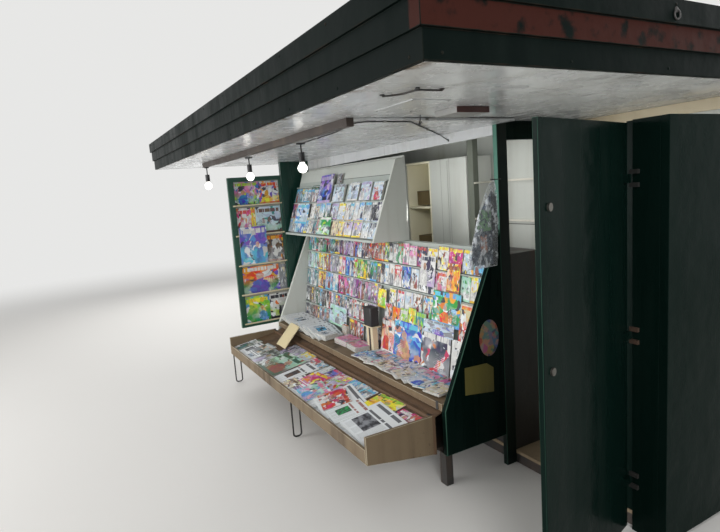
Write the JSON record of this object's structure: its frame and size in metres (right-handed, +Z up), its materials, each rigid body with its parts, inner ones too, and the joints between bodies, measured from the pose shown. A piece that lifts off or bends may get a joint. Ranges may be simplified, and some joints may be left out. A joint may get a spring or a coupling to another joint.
{
  "type": "street kiosk",
  "caption": "Newspaper kiosk with a deep stepped canopy, leaning magazine display, pull-out paper tray, wing rack and open entry door.",
  "frame": {"origin": "on the ground under the middle of the canopy", "axes": "+Z up, +X along the front towards the entry end, -Y out of the display front"},
  "size_m": [4.61, 2.224, 2.377],
  "materials": {
    "canopy_green": "dark green gloss paint, weathered",
    "body_green": "dark green gloss paint",
    "roof_grey": "grey roof sheet",
    "soffit_white": "white paint with grey primer patches",
    "board_white": "white painted boards",
    "cream_trim": "cream paint",
    "brown_edge": "dark brown paint",
    "tray_wood": "weathered grey-beige board",
    "deck_wood": "worn plywood",
    "dark_steel": "dark steel",
    "lock_metal": "worn",
    "bulb_glass": "milky white",
    "holder_black": "black",
    "light_housing": "white, brown end",
    "clear_bag": "clear film over magazines"
  },
  "bodies": {
    "root": {"fascia_front": "canopy_green", "fascia_back": "canopy_green", "fascia_near": "canopy_green", "fascia_far": "canopy_green", "roof_deck": "roof_grey", "soffit_main": "soffit_white", "soffit_entry": "soffit_white", "base_skids": "dark_steel", "floor_joists": "dark_steel", "floor_deck": "deck_wood", "back_wall": "board_white", "far_end_wall": "body_green", "near_end_wall": "body_green", "near_post": "body_green", "door_stop": "body_green", "display_posts": "body_green", "passage_lintel": "body_green", "header_board": "board_white", "front_flap": "soffit_white", "flap_beam": "brown_edge", "display_side_near": "body_green", "display_side_far": "board_white", "display_floor": "dark_steel", "display_feet": "dark_steel", "display_partition": "board_white", "display_board": "board_white", "magazine_ledges": "tray_wood", "counter": "tray_wood", "pedestal": "board_white", "black_box": "holder_black", "upper_rack": "board_white", "rack_ledges": "board_white", "rack_side": "board_white", "tray_guides": "dark_steel", "hinge_pins": "dark_steel", "shelf_niche": "cream_trim", "wall_shelves": "board_white", "closet": "board_white", "wall_battens": "board_white", "stock_cabinet": "dark_steel", "entry_trim": "cream_trim", "light_box": "light_housing", "bulbs": "bulb_glass", "lampholders": "holder_black", "lamp_cable": "holder_black", "cable_clips": "lock_metal", "bag_hook": "dark_steel", "magazine_bag": "clear_bag"},
    "door": {"door_leaf": "body_green", "door_stiles": "body_green", "door_rails": "body_green", "door_locks": "lock_metal"},
    "wing": {"wing_rack": "body_green", "wing_rails": "cream_trim"},
    "tray": {"tray_box": "tray_wood", "tray_deck": "tray_wood", "tray_ends": "tray_wood", "tray_brackets": "dark_steel", "tray_arms": "dark_steel", "tray_legs": "dark_steel"}
  },
  "joints": [
    {"name": "door_swing", "type": "hinge", "parent": "root", "child": "door", "pos_m": [1.908, 0.318, 1.03], "axis": [0, 0, 1], "range_deg": [-104, 45]},
    {"name": "wing_swing", "type": "hinge", "parent": "root", "child": "wing", "pos_m": [-1.745, 0.0085, 1.24], "axis": [0, 0, -1], "range_deg": [0, 180]},
    {"name": "tray_slide", "type": "slide", "parent": "root", "child": "tray", "axis": [0, 1, 0], "range_m": [0, 0.4]}
  ]
}
